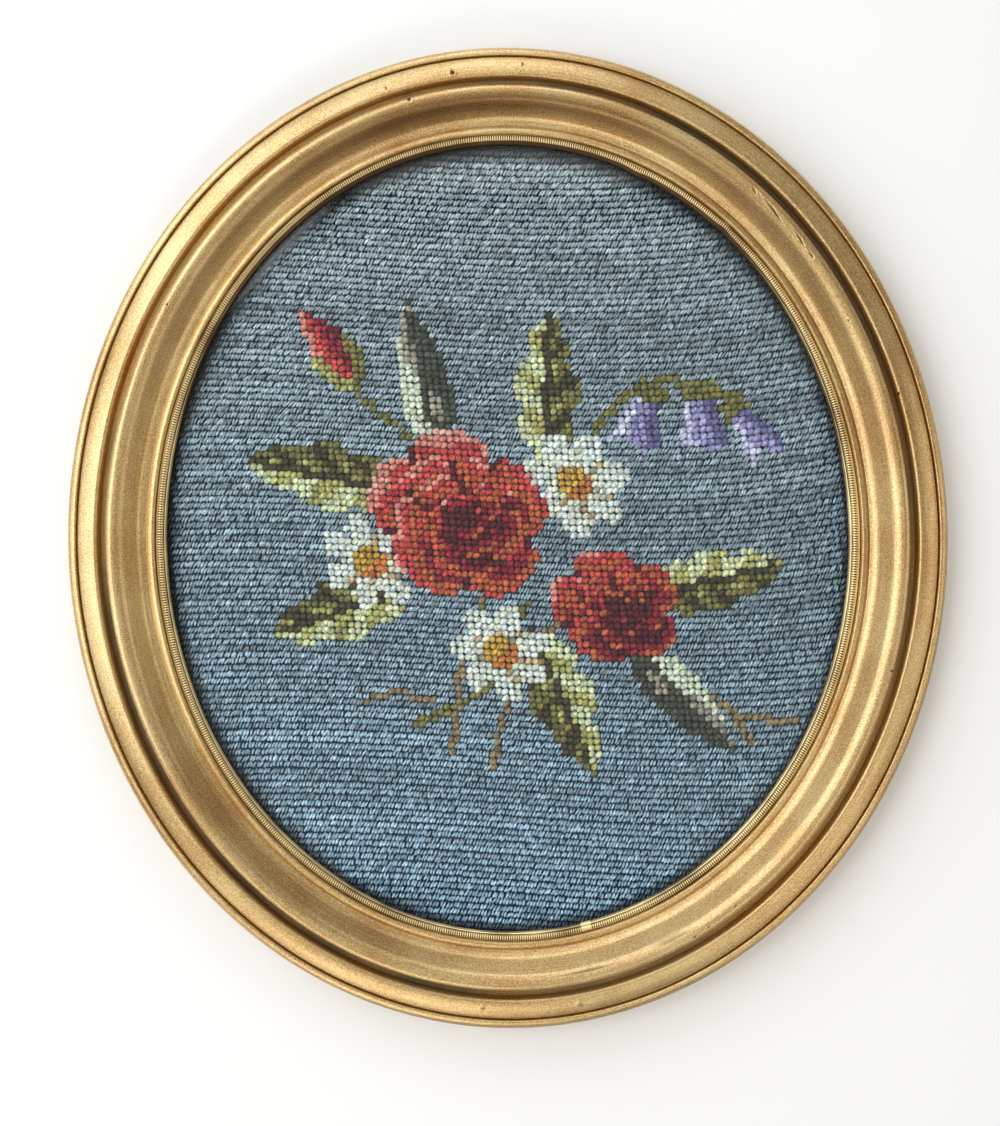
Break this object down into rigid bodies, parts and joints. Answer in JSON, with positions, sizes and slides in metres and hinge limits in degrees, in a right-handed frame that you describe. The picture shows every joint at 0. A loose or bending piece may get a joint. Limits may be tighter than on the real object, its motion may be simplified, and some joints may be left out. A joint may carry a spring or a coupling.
{
  "type": "needlepoint picture in an oval frame",
  "caption": "Oval needlepoint picture of a flower posy on slate blue wool, under glass in a turned gilt wooden frame with a reeded brass slip.",
  "frame": {"origin": "middle of the frame's back plane, which it lies on", "axes": "+Z out of the picture's face, +Y the picture's top, +X its right side"},
  "size_m": [0.323, 0.36, 0.02],
  "materials": {
    "gilt_wood": "satin gilding, darker in the grooves, rubbed on the ridge",
    "slip_brass": "reeded, satin",
    "picture_glass": "clear, flat",
    "wool_needlepoint": "wool tent stitch on canvas, matt",
    "board": "plain brown board, matt"
  },
  "bodies": {
    "root": {"frame_moulding": "gilt_wood", "slip": "slip_brass", "glass": "picture_glass", "needlepoint": "wool_needlepoint", "backing_board": "board"}
  },
  "joints": []
}
